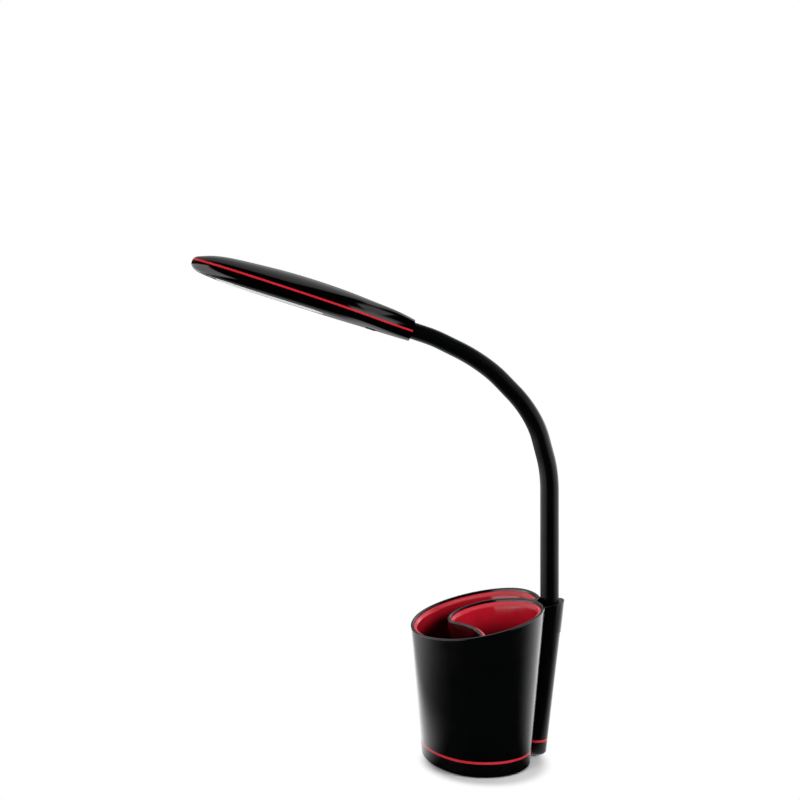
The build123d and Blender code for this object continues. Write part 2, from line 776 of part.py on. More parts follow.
with BuildPart() as led_board:
    with BuildSketch(head_plan(-tray_drop)):
        with Locations((diffuser_middle, 0)):
            Rectangle(led_board_length, led_board_width)
        with Locations(*led_screw_places):
            Circle(board_screw_radius + fit_gap, mode=Mode.SUBTRACT)
    extrude(amount=led_board_thickness)
led_board.part.label = "led_board"
export_step(led_board.part, "parts/led_board.step")

with BuildPart() as leds:
    with BuildSketch(head_plan(-tray_drop)):
        with Locations((diffuser_middle, 0)):
            with GridLocations(chamber_length / led_count, chamber_width * led_row_pitch_share, led_count, 2):
                Rectangle(led_length, led_width)
    extrude(amount=-led_height)
leds.part.label = "leds"
export_step(leds.part, "parts/leds.step")

with BuildPart() as neck_clamp:
    with BuildSketch(mouth_plane.offset(head_length * station_shares[hollow_first])):
        Circle(clamp_radius)
        Circle(core_radius + fit_gap, mode=Mode.SUBTRACT)
    extrude(amount=clamp_length)
neck_clamp.part.label = "neck_clamp"
export_step(neck_clamp.part, "parts/neck_clamp.step")

# Switch: button that slides up into the head, stem, housing, small board
with BuildPart() as switch_button:
    with BuildSketch(head_plan(-button_surface - button_proud)):
        with Locations((button_place, 0)):
            RectangleRounded(button_length, button_width, button_flange)
    extrude(amount=button_surface + button_proud + flange_top)
    fillet(switch_button.edges().group_by(Axis(head_origin, head_up))[0], button_round)
    with BuildSketch(head_plan(flange_bottom)):
        with Locations((button_place, 0)):
            Rectangle(button_length + 2 * button_flange, button_width + 2 * button_flange)
    extrude(amount=button_flange_height)
switch_button.part.label = "switch_button"
export_step(switch_button.part, "parts/switch_button.step")

with BuildPart() as switch_stem:
    with BuildSketch(head_plan(flange_top)):
        with Locations((button_place, 0)):
            Circle(stem_radius)
    extrude(amount=button_travel + 2 * switch_gap)
switch_stem.part.label = "switch_stem"
export_step(switch_stem.part, "parts/switch_stem.step")

with BuildPart() as switch_housing:
    with BuildSketch(head_plan(switch_bottom)):
        with Locations((button_place, 0)):
            Rectangle(switch_size, switch_size)
    extrude(amount=switch_height)
    with BuildSketch(head_plan(switch_bottom)):
        with Locations((button_place, 0)):
            Circle(stem_radius + switch_gap)
    extrude(amount=button_travel + 3 * switch_gap, mode=Mode.SUBTRACT)
switch_housing.part.label = "switch_housing"
export_step(switch_housing.part, "parts/switch_housing.step")

with BuildPart() as switch_board:
    with BuildSketch(head_plan(switch_top)):
        with Locations((button_place, 0)):
            Rectangle(switch_board_length, switch_board_width)
        with Locations(*switch_boss_places):
            Circle(board_screw_radius + fit_gap, mode=Mode.SUBTRACT)
    extrude(amount=switch_board_thickness)
switch_board.part.label = "switch_board"
export_step(switch_board.part, "parts/switch_board.step")


def board_screws(plane, places, length):
    """Small screws with their heads on top of a board whose upper face is the plane."""
    with BuildPart() as screws:
        with BuildSketch(plane):
            with Locations(*places):
                Circle(board_screw_head)
        extrude(amount=board_screw_head_height)
        with BuildSketch(plane):
            with Locations(*places):
                Circle(board_screw_radius)
        extrude(amount=-length)
    return screws.part


with BuildPart() as led_board_screws:
    add(board_screws(head_plan(led_board_top), led_screw_places, led_screw_length))
led_board_screws.part.label = "led_board_screws"
export_step(led_board_screws.part, "parts/led_board_screws.step")

with BuildPart() as switch_board_screws:
    add(board_screws(head_plan(switch_top + switch_board_thickness), switch_boss_places, board_screw_length))
switch_board_screws.part.label = "switch_board_screws"
export_step(switch_board_screws.part, "parts/switch_board_screws.step")
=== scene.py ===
"""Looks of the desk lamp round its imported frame: materials, smooth neck and head, light, camera. Metres."""

import json
from math import acos, cos, pi, radians, sin, sqrt, tan

import bpy
import numpy as np
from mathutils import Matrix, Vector


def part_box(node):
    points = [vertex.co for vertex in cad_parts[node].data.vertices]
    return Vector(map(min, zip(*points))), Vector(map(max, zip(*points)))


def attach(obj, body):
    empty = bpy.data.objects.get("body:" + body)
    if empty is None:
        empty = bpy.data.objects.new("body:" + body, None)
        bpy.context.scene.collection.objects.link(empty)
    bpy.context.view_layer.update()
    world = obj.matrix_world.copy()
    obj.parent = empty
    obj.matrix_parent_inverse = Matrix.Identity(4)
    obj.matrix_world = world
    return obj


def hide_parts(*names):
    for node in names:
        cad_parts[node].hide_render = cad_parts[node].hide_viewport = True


MM = 0.001
SHARP_ANGLE = radians(35)
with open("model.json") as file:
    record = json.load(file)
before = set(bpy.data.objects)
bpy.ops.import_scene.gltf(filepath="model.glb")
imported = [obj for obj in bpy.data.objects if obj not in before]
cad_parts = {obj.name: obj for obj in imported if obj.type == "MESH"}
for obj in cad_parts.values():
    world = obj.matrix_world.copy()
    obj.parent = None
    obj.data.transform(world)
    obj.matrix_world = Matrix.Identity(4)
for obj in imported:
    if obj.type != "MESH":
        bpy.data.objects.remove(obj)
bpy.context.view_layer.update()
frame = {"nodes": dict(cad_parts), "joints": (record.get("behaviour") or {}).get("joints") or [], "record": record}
nodes = frame["nodes"]
joints = {joint["name"]: joint for joint in frame["joints"]}


# Shader helpers: a value is a number or the socket of a node

NOISE_BAND = (0.35, 0.65)
COARSE_DETAIL = 3.0
FINE_DETAIL = 5.0


def math_node(tree, operation, *values):
    node = tree.nodes.new("ShaderNodeMath")
    node.operation = operation
    for socket, value in zip(node.inputs, values):
        if isinstance(value, (int, float)):
            socket.default_value = value
        else:
            tree.links.new(value, socket)
    return node.outputs["Value"]


def times(tree, *values):
    result = values[0]
    for value in values[1:]:
        result = math_node(tree, "MULTIPLY", result, value)
    return result


def plus(tree, *values):
    result = values[0]
    for value in values[1:]:
        result = math_node(tree, "ADD", result, value)
    return result


def root_of_sum(tree, *values):
    return math_node(tree, "SQRT", plus(tree, *values))


def blend_values(tree, share, low, high):
    """low where share is 0, high where it is 1."""
    rest = math_node(tree, "SUBTRACT", 1.0, share)
    return plus(tree, times(tree, share, high), times(tree, rest, low))


def map_range(tree, value, start, end, low, high, shape="LINEAR"):
    step = tree.nodes.new("ShaderNodeMapRange")
    step.interpolation_type = shape
    step.inputs["From Min"].default_value = start
    step.inputs["From Max"].default_value = end
    step.inputs["To Min"].default_value = low
    step.inputs["To Max"].default_value = high
    tree.links.new(value, step.inputs["Value"])
    return step.outputs["Result"]


def ramp(tree, value, start, end, low=0.0, high=1.0):
    """Smooth step of a value from low at start to high at end."""
    return map_range(tree, value, start, end, low, high, "SMOOTHSTEP")


def split_xyz(tree, output_name):
    place = tree.nodes.new("ShaderNodeTexCoord")
    parts = tree.nodes.new("ShaderNodeSeparateXYZ")
    tree.links.new(place.outputs[output_name], parts.inputs["Vector"])
    return parts.outputs["X"], parts.outputs["Y"], parts.outputs["Z"]


def noise(tree, scale, detail):
    place = tree.nodes.new("ShaderNodeTexCoord")
    texture = tree.nodes.new("ShaderNodeTexNoise")
    texture.inputs["Scale"].default_value = scale
    texture.inputs["Detail"].default_value = detail
    tree.links.new(place.outputs["Object"], texture.inputs["Vector"])
    return texture.outputs["Fac"]


def mix_colors(tree, share, low, high):
    """Mix of two colours, each of them three numbers or a socket."""
    mix = tree.nodes.new("ShaderNodeMix")
    mix.data_type = "RGBA"
    for name, color in (("A", low), ("B", high)):
        if isinstance(color, tuple):
            mix.inputs[name].default_value = (*color, 1)
        else:
            tree.links.new(color, mix.inputs[name])
    tree.links.new(share, mix.inputs["Factor"])
    return mix.outputs["Result"]


def mottled(tree, scale, dark, light):
    """Colour that wanders between two."""
    share = map_range(tree, noise(tree, scale, COARSE_DETAIL), *NOISE_BAND, 0, 1)
    return mix_colors(tree, share, dark, light)


def scale_color(tree, color, factor):
    scaled = tree.nodes.new("ShaderNodeVectorMath")
    scaled.operation = "SCALE"
    tree.links.new(color, scaled.inputs["Vector"])
    tree.links.new(factor, scaled.inputs["Scale"])
    return scaled.outputs["Vector"]


def set_color(tree, shader, color):
    tree.links.new(color, shader.inputs["Base Color"])


def set_roughness(tree, shader, scale, low, high):
    """Roughness that wanders between two values."""
    value = map_range(tree, noise(tree, scale, FINE_DETAIL), *NOISE_BAND, low, high)
    tree.links.new(value, shader.inputs["Roughness"])


def set_relief(tree, shader, value, height):
    """Relief that is height metres high where the value is 1."""
    bump = tree.nodes.new("ShaderNodeBump")
    bump.inputs["Strength"].default_value = 1.0
    bump.inputs["Distance"].default_value = height
    tree.links.new(value, bump.inputs["Height"])
    tree.links.new(bump.outputs["Normal"], shader.inputs["Normal"])


# Materials. A tuple of two or four numbers is where a ramp starts and ends, and its values there

PLASTIC_MOTTLE = 35
PLASTIC_WEAR = 90
METAL_MOTTLE = 120
METAL_WEAR = 300
METAL_GRAIN = 900
METAL_RELIEF = 2e-5
METAL_SHADE = 0.85
RIM_HEIGHT = 0.1067
RIM_SLOPE_X = 0.225
RIM_SLOPE_Y = 0.023
# Painted shade in the red liners: where the crescent and its divider side lie, and how far below the rim the
# colour darkens
CRESCENT_LEFT = (-0.022, -0.030)
CRESCENT_BACK = (0.036, 0.042)
DIVIDER_SIDE = (-0.044, -0.012)
SHADE_OPEN = (0.009, 0.020, 1.0, 0.02)
SHADE_CLOSE = (0.0045, 0.015, 0.8, 0.02)
SHADE_OVAL = (0.008, 0.030, 1.0, 0.08)
# Depths under the rim of the liner's painted highlight band
LIP_HIGHLIGHT_DEPTHS = (0.0055, 0.0035)
LIP_CURVE = (0.0015, 0.0050)
LIP_RELIEF = 0.0022
LINER_ROUGHNESS = 0.16
LINER_ROUGH_LOW = 0.13
LINER_ROUGH_HIGH = 0.18
# Painted shade: the lens colour falls to half where it is seen edge-on
LENS_EDGE_SHADE = (0.95, 1.0, 1.0, 0.5)


def new_material(name, color, roughness, specular=0.5, metallic=0.0):
    material = bpy.data.materials.new(name)
    material.use_nodes = True
    shader = material.node_tree.nodes["Principled BSDF"]
    shader.inputs["Base Color"].default_value = (*color, 1)
    shader.inputs["Roughness"].default_value = roughness
    shader.inputs["Specular IOR Level"].default_value = specular
    shader.inputs["Metallic"].default_value = metallic
    return material, material.node_tree, shader


def plastic(name, dark, light, rough_low, rough_high, grain_scale, grain_height, specular=0.5):
    material, tree, shader = new_material(name, dark, rough_low, specular)
    set_color(tree, shader, mottled(tree, PLASTIC_MOTTLE, dark, light))
    set_roughness(tree, shader, PLASTIC_WEAR, rough_low, rough_high)
    set_relief(tree, shader, noise(tree, grain_scale, COARSE_DETAIL), grain_height)
    return material


def metal(name, color, rough_low, rough_high):
    material, tree, shader = new_material(name, color, rough_low, metallic=1.0)
    dark = tuple(part * METAL_SHADE for part in color)
    set_color(tree, shader, mottled(tree, METAL_MOTTLE, dark, color))
    set_roughness(tree, shader, METAL_WEAR, rough_low, rough_high)
    set_relief(tree, shader, noise(tree, METAL_GRAIN, COARSE_DETAIL), METAL_RELIEF)
    return material


def liner_red(name, dark, light, lip_highlight_color):
    """Glossy red with a painted highlight in a lighter band under the rim, a bumped rounded lip, and painted shade
    that darkens it lower down.
    """
    material, tree, shader = new_material(name, dark, LINER_ROUGHNESS)
    x, y, z = split_xyz(tree, "Object")
    rim = plus(tree, times(tree, x, RIM_SLOPE_X), times(tree, y, RIM_SLOPE_Y), RIM_HEIGHT)
    depth = math_node(tree, "SUBTRACT", rim, z)
    in_crescent = math_node(tree, "MAXIMUM", ramp(tree, x, *CRESCENT_LEFT), ramp(tree, y, *CRESCENT_BACK))
    shade_open, shade_close = ramp(tree, depth, *SHADE_OPEN), ramp(tree, depth, *SHADE_CLOSE)
    shade_crescent = blend_values(tree, ramp(tree, x, *DIVIDER_SIDE), shade_open, shade_close)
    shade = blend_values(tree, in_crescent, ramp(tree, depth, *SHADE_OVAL), shade_crescent)
    skin = mottled(tree, PLASTIC_MOTTLE, dark, light)
    # Painted highlight: a lighter lip colour in the band just under the rim
    skin = mix_colors(tree, ramp(tree, depth, *LIP_HIGHLIGHT_DEPTHS), skin, lip_highlight_color)
    # Painted shade: the colour is scaled down with depth below the rim
    set_color(tree, shader, scale_color(tree, skin, shade))
    set_roughness(tree, shader, PLASTIC_WEAR, LINER_ROUGH_LOW, LINER_ROUGH_HIGH)
    set_relief(tree, shader, ramp(tree, depth, *LIP_CURVE), LIP_RELIEF)
    return material


def lens_white(name, *look):
    """White plastic with painted shade: it darkens where it is seen along its face."""
    material = plastic(name, *look)
    tree = material.node_tree
    shader = tree.nodes["Principled BSDF"]
    skin = shader.inputs["Base Color"].links[0].from_socket
    facing = tree.nodes.new("ShaderNodeLayerWeight").outputs["Facing"]
    set_color(tree, shader, scale_color(tree, skin, ramp(tree, facing, *LENS_EDGE_SHADE)))
    return material


# Plastic and lens: dark and light colour, roughness from and to, grain scale, grain relief in metres, and
# specular level if not 0.5. Metal: colour, roughness from and to. Liner: dark, light and painted lip highlight
# colour
LOOKS = {
    "cup_black": (plastic, (0.0002, 0.0004, 0.0004), (0.0004, 0.0007, 0.0007), 0.17, 0.21, 900, 4e-6),
    "base_black": (plastic, (0.0004, 0.0006, 0.0006), (0.0008, 0.0011, 0.0011), 0.24, 0.30, 900, 6e-6),
    "cup_red": (liner_red, (0.48, 0.008, 0.020), (0.54, 0.011, 0.026), (0.62, 0.03, 0.05)),
    "stripe_red": (plastic, (0.50, 0.012, 0.025), (0.58, 0.016, 0.032), 0.25, 0.32, 600, 6e-6),
    "trim_red": (plastic, (0.44, 0.010, 0.018), (0.50, 0.013, 0.022), 0.2, 0.26, 600, 3e-6),
    "weight_steel": (metal, (0.42, 0.42, 0.43), 0.35, 0.5),
    "screw_steel": (metal, (0.55, 0.55, 0.56), 0.25, 0.35),
    "pad_rubber": (plastic, (0.02, 0.02, 0.02), (0.03, 0.03, 0.03), 0.75, 0.9, 900, 1.5e-4),
    "neck_rubber": (
        plastic, (0.0003, 0.0004, 0.0004), (0.0006, 0.0008, 0.0008), 0.28, 0.34, 1800, 6e-6, 0.15),
    "neck_steel": (metal, (0.38, 0.38, 0.39), 0.3, 0.45),
    "ferrule_metal": (metal, (0.7, 0.7, 0.72), 0.12, 0.2),
    "board_green": (plastic, (0.01, 0.10, 0.03), (0.015, 0.14, 0.045), 0.35, 0.5, 700, 2e-5),
    "led_board_white": (plastic, (0.8, 0.8, 0.78), (0.85, 0.85, 0.83), 0.4, 0.5, 700, 2e-5),
    "coil_ferrite": (plastic, (0.03, 0.028, 0.028), (0.05, 0.047, 0.046), 0.6, 0.75, 1200, 8e-5),
    "chip_black": (plastic, (0.02, 0.02, 0.02), (0.03, 0.03, 0.03), 0.55, 0.65, 1500, 4e-5),
    "socket_black": (plastic, (0.015, 0.015, 0.015), (0.02, 0.02, 0.02), 0.5, 0.6, 1200, 4e-5),
    "pin_metal": (metal, (0.72, 0.66, 0.5), 0.15, 0.25),
    "head_black": (plastic, (0.0002, 0.0002, 0.0002), (0.0004, 0.0004, 0.0004), 0.05, 0.08, 300, 5e-7),
    "diffuser_white": (lens_white, (0.86, 0.87, 0.88), (0.90, 0.91, 0.92), 0.35, 0.45, 1500, 3e-5),
    "tray_white": (plastic, (0.82, 0.82, 0.81), (0.86, 0.86, 0.85), 0.2, 0.3, 700, 1e-5),
    "led_yellow": (plastic, (0.75, 0.55, 0.12), (0.85, 0.66, 0.18), 0.25, 0.35, 700, 2e-5),
    "button_black": (plastic, (0.004, 0.004, 0.0045), (0.006, 0.006, 0.0065), 0.4, 0.5, 1500, 4e-5),
}
materials = {name: make(name, *look) for name, (make, *look) in LOOKS.items()}
slot_of = {part["node"]: part["material_slot"] for part in frame["record"]["subparts"]}


def paint(piece, slot_name):
    piece.data.materials.clear()
    piece.data.materials.append(materials[slot_name])


for node_name, node in nodes.items():
    paint(node, slot_of[node_name])


def show(thing):
    bpy.context.scene.collection.objects.link(thing)


def mesh_piece(name, points, faces, slot_name):
    mesh = bpy.data.meshes.new(name)
    mesh.from_pydata([tuple(point) for point in points], [], faces)
    mesh.validate()
    piece = bpy.data.objects.new(name, mesh)
    show(piece)
    for polygon in mesh.polygons:
        polygon.use_smooth = True
    paint(piece, slot_name)
    return piece


# Neck: one smooth tapered sleeve, in rigid lengths that turn on a hidden ball at each joint

NECK_JOINTS = 12
NECK_AROUND = 64
NECK_STEPS = 10
ROOT_STEPS = 24
BALL_STEPS = 8
BALL_RECESS = 0.2 * MM
BALL_GAP = 0.1 * MM
SOCKET_WALL = 0.6 * MM
CORE_REACH = 9.0 * MM
BASE_RADIUS = 7.15 * MM
HEAD_RADIUS = 6.4 * MM
BORE_RADIUS = 4.4 * MM
STRAIGHT = 1e-4
END_TILT = radians(72)
END_LENGTH = 18.2 * MM
INSERTION = 11.0 * MM
neck_points = [Vector(joints[f"neck_joint_{k:02d}"]["pos_m"]) for k in range(1, NECK_JOINTS + 1)]
link_directions = [(b - a).normalized() for a, b in zip(neck_points, neck_points[1:])]
root_foot = Vector((neck_points[0].x, neck_points[0].y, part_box("neck_root_sleeve")[0][2]))
half_pitch = (neck_points[1] - neck_points[0]).length / 2
head_forward = Vector((-sin(END_TILT), 0, cos(END_TILT)))
directions = [Vector((0, 0, 1))] + link_directions + [head_forward]


def sleeve_radius(index):
    share = min(max(index / NECK_JOINTS, 0), 1)
    return BASE_RADIUS + (HEAD_RADIUS - BASE_RADIUS) * share


def bent_line(corner, before, after, reach, steps):
    """Points and tangents of the arc that rounds a corner between two straight lines."""
    start, end = corner - before * reach, corner + after * reach
    angle = before.angle(after, 0)
    if angle < STRAIGHT:
        return [(start + (end - start) * s / steps, before) for s in range(steps + 1)]
    radius = reach / tan(angle / 2)
    toward = (after - before * before.dot(after)).normalized()
    centre = start + toward * radius
    line = []
    for s in range(steps + 1):
        turn = angle * s / steps
        line.append((centre - toward * radius * cos(turn) + before * radius * sin(turn),
                     (before * cos(turn) + toward * sin(turn)).normalized()))
    return line


def ball_rows(row, reach, mouth):
    """Rows of a ball round the middle of a row, from its widest place to its round mouth."""
    middle, tangent, _ = row
    stop = acos(mouth / reach)
    turns = [stop * s / BALL_STEPS for s in range(BALL_STEPS + 1)]
    return [(middle + tangent * reach * sin(turn), tangent, reach * cos(turn)) for turn in turns]


def neck_piece(name, rows, body, replaced, socket=True, ball=True):
    """Closed rubber tube along a run of the neck's line, with a socket at its foot and a ball on its top."""
    foot, foot_tangent, foot_radius = rows[0]
    bore = [(middle, tangent, BORE_RADIUS) for middle, tangent, _ in reversed(rows)]
    profile = list(rows)
    if ball:
        profile += ball_rows(rows[-1], rows[-1][2] - BALL_RECESS, BORE_RADIUS)
    if socket:
        wide = foot_radius - SOCKET_WALL
        hollow = ball_rows(rows[0], foot_radius - BALL_RECESS + BALL_GAP, wide)
        depth = (hollow[-1][0] - foot).length + BALL_GAP
        for middle, tangent, radius in bore:
            past = (middle - foot).dot(foot_tangent)
            if past > depth:
                profile.append((middle, tangent, radius if past > CORE_REACH else wide))
        profile += hollow[::-1]
    else:
        profile += bore
    points, faces = [], []
    side = Vector((0, 1, 0))
    for middle, tangent, radius in profile:
        out = side.cross(tangent).normalized()
        for a in range(NECK_AROUND):
            angle = 2 * pi * a / NECK_AROUND
            points.append(middle + (out * cos(angle) + side * sin(angle)) * radius)
    for row in range(len(profile)):
        near, far = row * NECK_AROUND, (row + 1) % len(profile) * NECK_AROUND
        for a in range(NECK_AROUND):
            b = (a + 1) % NECK_AROUND
            faces.append((near + b, near + a, far + a, far + b))
    tube = mesh_piece(name, points, faces, "neck_rubber")
    tube.data.set_sharp_from_angle(angle=SHARP_ANGLE)
    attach(tube, body)
    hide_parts(replaced)


# The neck's line as rows of middle, tangent and radius, and the row that lies at each joint
root_top = neck_points[0] - directions[0] * half_pitch
root_way = root_top - root_foot
neck_line = [(root_foot + root_way * s / ROOT_STEPS, directions[0], BASE_RADIUS) for s in range(ROOT_STEPS)]
joint_rows = []
for k in range(NECK_JOINTS):
    joint_rows.append(len(neck_line) + NECK_STEPS // 2)
    arc = bent_line(neck_points[k], directions[k], directions[k + 1], half_pitch, NECK_STEPS)
    for s, (middle, tangent) in enumerate(arc[:-1]):
        neck_line.append((middle, tangent, sleeve_radius(k - 0.5 + s / NECK_STEPS)))
end_start = neck_points[-1] + head_forward * half_pitch
end_way = head_forward * (END_LENGTH + INSERTION - half_pitch)
for s in range(NECK_STEPS + 1):
    share = s / NECK_STEPS
    radius = sleeve_radius(NECK_JOINTS - 0.5 + 0.5 * share)
    neck_line.append((end_start + end_way * share, head_forward, radius))

neck_piece("neck_tube_root", neck_line[:joint_rows[0] + 1], "base", "neck_root_sleeve", socket=False)
for k in range(1, NECK_JOINTS):
    rows = neck_line[joint_rows[k - 1]:joint_rows[k] + 1]
    neck_piece(f"neck_tube_{k:02d}", rows, f"link_{k:02d}", f"neck_sleeve_{k:02d}")
neck_piece("neck_tube_end", neck_line[joint_rows[-1]:], "head", "neck_end_sleeve", ball=False)


# Head: one smooth form, hollowed and cut apart at the trim line

HEAD_LENGTH = 171.5 * MM
HEAD_WIDTH = 47.6 * MM
HEAD_TOP = 13.8 * MM
HEAD_BOTTOM = 9.1 * MM
HEAD_WALL = 1.8 * MM
HEAD_OFFSET = 0.9 * MM
TIP_DROP = 2.4 * MM
TIP_FALL = 1.5
TIP_FLAT = 0.4
WIDEST_FLAT = 0.9
TRIM_HEIGHT = 1.5 * MM
STATIONS = [0, 0.07, 0.175, 0.29, 0.43, 0.58, 0.73, 0.85, 0.925, 0.97, 0.992]
WIDTHS = [0.349, 0.42, 0.63, 0.89, 1.0, 0.98, 0.875, 0.70, 0.505, 0.32, 0.17]
TOPS = [0.667, 0.80, 0.89, 0.965, 1.0, 0.955, 0.82, 0.67, 0.475, 0.27, 0.12]
BOTTOMS = [0.82, 0.85, 0.88, 0.90, 0.925, 0.96, 1.0, 0.985, 0.93, 0.82, 0.60]
FLATS = [0.30, 0.33, 0.42, 0.58, 0.68, 0.69, 0.68, 0.66, 0.60, 0.5, 0.4]
TOP_STEPS = 48
SIDE_STEPS = 16
FLAT_STEPS = 12
HEAD_RINGS = 130
HOLLOW_RINGS = 80
HOLLOW_START = -1.0 * MM
HOLLOW_END = STATIONS[9]
WINDOW_START = 0.39067
WINDOW_LENGTH = 0.4898
WINDOW_WIDTH = 0.52521
WINDOW_GAP = 0.24 * MM
BUTTON_PLACE = STATIONS[2]
BUTTON_HOLE = (8.6 * MM, 5.2 * MM, 0.9 * MM)
BUTTON_STEPS = 6
CUT_HEIGHTS = (-12 * MM, -3 * MM)
head_up = Vector((cos(END_TILT), 0, sin(END_TILT)))
head_side = Vector((0, -1, 0))
head_origin = neck_points[-1] + head_forward * END_LENGTH - head_up * HEAD_OFFSET


def curve_through(places, values, place):
    """Natural cubic curve through values at rising places."""
    places, values = np.array(places), np.array(values)
    gaps = np.diff(places)
    slopes = np.diff(values) / gaps
    system = np.eye(len(places))
    right = np.zeros(len(places))
    for k in range(1, len(places) - 1):
        system[k, k - 1:k + 2] = gaps[k - 1], 2 * (gaps[k - 1] + gaps[k]), gaps[k]
        right[k] = 6 * (slopes[k] - slopes[k - 1])
    bends = np.linalg.solve(system, right)
    k = int(np.clip(np.searchsorted(places, place) - 1, 0, len(places) - 2))
    near, far = place - places[k], places[k + 1] - place
    return ((bends[k] * far ** 3 + bends[k + 1] * near ** 3) / (6 * gaps[k])
            + (values[k] / gaps[k] - bends[k] * gaps[k] / 6) * far
            + (values[k + 1] / gaps[k] - bends[k + 1] * gaps[k] / 6) * near)


def head_point(along, across, up):
    return head_origin + head_forward * along + head_side * across + head_up * up


# Along the head a place is the root of the share left to the tip, which rounds the tip
nose_places = [0] + [sqrt(1 - station) for station in reversed(STATIONS)]


def head_curve(shares, size, tip_value):
    return [tip_value] + [share * size for share in reversed(shares)]


half_widths = head_curve(WIDTHS, HEAD_WIDTH / 2, 0)
upper_heights = head_curve(TOPS, HEAD_TOP, -TIP_DROP)
lower_heights = head_curve(BOTTOMS, -HEAD_BOTTOM, -TIP_DROP)
flat_parts = [TIP_FLAT] + list(reversed(FLATS))


def head_ring(place, inset):
    """Points round the head at a place: half an ellipse above, rounded sides and a flat below."""
    half_width = curve_through(nose_places, half_widths, place)
    flat = half_width * curve_through(nose_places, flat_parts, place)
    upper = curve_through(nose_places, upper_heights, place) - inset
    lower = curve_through(nose_places, lower_heights, place) + inset
    middle = -TIP_DROP * max(1 - place / nose_places[1], 0) ** TIP_FALL
    half_width -= inset
    flat = min(flat, half_width * WIDEST_FLAT)
    outline = []
    for a in range(TOP_STEPS):
        turn = pi * a / TOP_STEPS
        outline.append((half_width * cos(turn), middle + (upper - middle) * sin(turn)))
    for a in range(SIDE_STEPS):
        turn = pi / 2 * a / SIDE_STEPS
        outline.append((-flat - (half_width - flat) * cos(turn), middle - (middle - lower) * sin(turn)))
    outline += [(-flat + 2 * flat * a / FLAT_STEPS, lower) for a in range(FLAT_STEPS)]
    for a in range(SIDE_STEPS):
        turn = pi / 2 * (1 - a / SIDE_STEPS)
        outline.append((flat + (half_width - flat) * cos(turn), middle - (middle - lower) * sin(turn)))
    return outline


def head_solid(name, places, inset, start=0.0):
    """Closed form through the rings at some places, the first one moved out to start."""
    points, faces = [], []
    for ring, place in enumerate(places):
        along = HEAD_LENGTH * (1 - place ** 2) if ring else start
        outline = head_ring(place, inset)
        points += [head_point(along, across, up) for across, up in outline]
    around = len(outline)
    last = (len(places) - 1) * around
    for near in range(0, last, around):
        far = near + around
        for a in range(around):
            b = (a + 1) % around
            faces.append((near + a, near + b, far + b, far + a))
    faces.append(tuple(reversed(range(around))))
    if inset:
        faces.append(tuple(range(last, last + around)))
    else:
        points.append(head_point(HEAD_LENGTH, 0, -TIP_DROP))
        faces += [(last + a, last + (a + 1) % around, len(points) - 1) for a in range(around)]
    return mesh_piece(name, points, faces, "head_black")


def head_prism(name, outline, low, high):
    """Closed column along the head's upright over a plan outline of points (along, across)."""
    count = len(outline)
    points = [head_point(along, across, up) for up in (low, high) for along, across in outline]
    faces = [tuple(reversed(range(count))), tuple(range(count, 2 * count))]
    faces += [(a, (a + 1) % count, count + (a + 1) % count, count + a) for a in range(count)]
    return mesh_piece(name, points, faces, "head_black")


def rounded_outline(centre, length, width, radius, steps=16):
    """Rounded rectangle in plan."""
    outline = []
    for quarter, (right, front) in enumerate(((1, 1), (-1, 1), (-1, -1), (1, -1))):
        corner = (centre + right * (length / 2 - radius), front * (width / 2 - radius))
        for step in range(steps + 1):
            turn = pi / 2 * (quarter + step / steps)
            outline.append((corner[0] + radius * cos(turn), corner[1] + radius * sin(turn)))
    return outline


def carve(piece, operation, *tools):
    """Cuts a piece with closed tools, or keeps what it shares with them."""
    for tool in tools:
        modifier = piece.modifiers.new("carve", "BOOLEAN")
        modifier.operation = operation
        modifier.solver = "EXACT"
        modifier.object = tool
    carved = bpy.data.meshes.new_from_object(piece.evaluated_get(bpy.context.evaluated_depsgraph_get()))
    piece.modifiers.clear()
    piece.data = carved
    carved.set_sharp_from_angle(angle=SHARP_ANGLE)
    return piece


def head_copy(name, source):
    piece = bpy.data.objects.new(name, source.data.copy())
    show(piece)
    return piece


def head_slab(name, low, high):
    """Column that takes in the whole head between two heights."""
    far = HEAD_LENGTH
    return head_prism(name, [(-far, -far), (2 * far, -far), (2 * far, far), (-far, far)], low, high)


head_skin = head_solid("head_skin", [1 - k / HEAD_RINGS for k in range(HEAD_RINGS)], 0)
hollow_end = sqrt(1 - HOLLOW_END)
hollow_places = [1 - (1 - hollow_end) * k / HOLLOW_RINGS for k in range(HOLLOW_RINGS + 1)]
head_inner = head_solid("head_inner", [1] + hollow_places, HEAD_WALL, HOLLOW_START)
carve(head_skin, "DIFFERENCE", head_inner)
window_middle = HEAD_LENGTH * (WINDOW_START + WINDOW_LENGTH / 2)
lens_size = (HEAD_LENGTH * WINDOW_LENGTH, HEAD_WIDTH * WINDOW_WIDTH)
window_size = [size + WINDOW_GAP for size in lens_size]
window_outline = rounded_outline(window_middle, *window_size, window_size[1] / 2)
lens_outline = rounded_outline(window_middle, *lens_size, lens_size[1] / 2)
button_outline = rounded_outline(HEAD_LENGTH * BUTTON_PLACE, *BUTTON_HOLE, BUTTON_STEPS)
slot_tool = head_prism("slot_tool", window_outline, *CUT_HEIGHTS)
lens_tool = head_prism("lens_tool", lens_outline, *CUT_HEIGHTS)
button_tool = head_prism("button_tool", button_outline, *CUT_HEIGHTS)
upper_slab = head_slab("upper_slab", TRIM_HEIGHT / 2, HEAD_WIDTH)
trim_slab = head_slab("trim_slab", -TRIM_HEIGHT / 2, TRIM_HEIGHT / 2)
lower_slab = head_slab("lower_slab", -HEAD_WIDTH, -TRIM_HEIGHT / 2)
head_lens = carve(head_copy("head_lens", head_skin), "INTERSECT", lens_tool)
head_trim = carve(head_copy("head_trim", head_skin), "INTERSECT", trim_slab)
head_lower = carve(head_copy("head_lower", head_skin), "INTERSECT", lower_slab)
